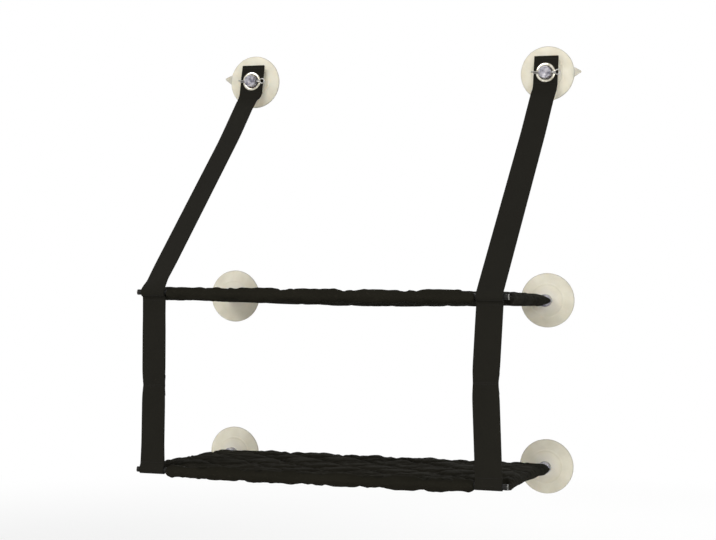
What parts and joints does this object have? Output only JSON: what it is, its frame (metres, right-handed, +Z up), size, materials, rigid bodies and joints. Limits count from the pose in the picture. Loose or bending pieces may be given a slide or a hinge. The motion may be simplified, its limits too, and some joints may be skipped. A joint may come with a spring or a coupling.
{
  "type": "cat hammock",
  "caption": "Two padded shelves hung one below the other from a window pane by suction cups and black webbing straps; the shelves fold up together.",
  "frame": {"origin": "on the window pane, midway between the upper shelf's two suction cups and level with them", "axes": "+Z up, +X to the right along the window as seen from the room, +Y into the pane, so the room is on the -Y side"},
  "size_m": [0.6158, 0.3478, 0.699],
  "materials": {
    "cup_pvc": "translucent flexible PVC, cream, glossy",
    "rod_steel": "bright drawn steel",
    "coated_tube": "black powder coat, bare at the cut ends",
    "quilted_cover": "black quilted polyester with a slight sheen",
    "webbing": "black woven webbing",
    "tee_nylon": "black moulded nylon",
    "grommet_metal": "nickel plated",
    "pin_steel": "zinc plated wire"
  },
  "bodies": {
    "window_side": {"top_left_cup": "cup_pvc", "top_right_cup": "cup_pvc", "upper_left_cup": "cup_pvc", "upper_right_cup": "cup_pvc", "lower_left_cup": "cup_pvc", "lower_right_cup": "cup_pvc", "upper_rear_rod": "rod_steel", "lower_rear_rod": "rod_steel", "left_upper_strap": "webbing", "left_grommet": "grommet_metal", "right_upper_strap": "webbing", "right_grommet": "grommet_metal"},
    "upper_shelf": {"upper_front_tube": "coated_tube", "upper_cover": "quilted_cover", "upper_left_side_tube": "coated_tube", "upper_left_front_tee": "tee_nylon", "upper_left_rear_tee": "tee_nylon", "upper_right_side_tube": "coated_tube", "upper_right_front_tee": "tee_nylon", "upper_right_rear_tee": "tee_nylon"},
    "lower_shelf": {"lower_front_tube": "coated_tube", "lower_cover": "quilted_cover", "lower_left_side_tube": "coated_tube", "lower_left_front_tee": "tee_nylon", "lower_left_rear_tee": "tee_nylon", "lower_right_side_tube": "coated_tube", "lower_right_front_tee": "tee_nylon", "lower_right_rear_tee": "tee_nylon"},
    "lower_straps": {"left_lower_strap": "webbing", "right_lower_strap": "webbing"},
    "left_pin": {"left_split_pin": "pin_steel"},
    "right_pin": {"right_split_pin": "pin_steel"}
  },
  "joints": [
    {"name": "upper_shelf_fold", "type": "hinge", "parent": "window_side", "child": "upper_shelf", "pos_m": [0, -0.0205, 0], "axis": [-1, 0, 0], "range_deg": [0, 65], "deforming": ["left_upper_strap", "right_upper_strap"]},
    {"name": "lower_shelf_fold", "type": "hinge", "parent": "window_side", "child": "lower_shelf", "pos_m": [0, -0.0205, -0.26], "axis": [-1, 0, 0], "range_deg": [0, 65]},
    {"name": "lower_strap_swing", "type": "hinge", "parent": "upper_shelf", "child": "lower_straps", "pos_m": [0, -0.34, 0.014], "axis": [-1, 0, 0], "range_deg": [-65, 0]},
    {"name": "left_pin_pull", "type": "slide", "parent": "window_side", "child": "left_pin", "axis": [1, 0, 0], "range_m": [0, 0.04]},
    {"name": "right_pin_pull", "type": "slide", "parent": "window_side", "child": "right_pin", "axis": [1, 0, 0], "range_m": [0, 0.04]}
  ],
  "couplings": [
    {"joint": "lower_shelf_fold", "follows": "upper_shelf_fold", "ratio": 1},
    {"joint": "lower_strap_swing", "follows": "upper_shelf_fold", "ratio": -1}
  ]
}
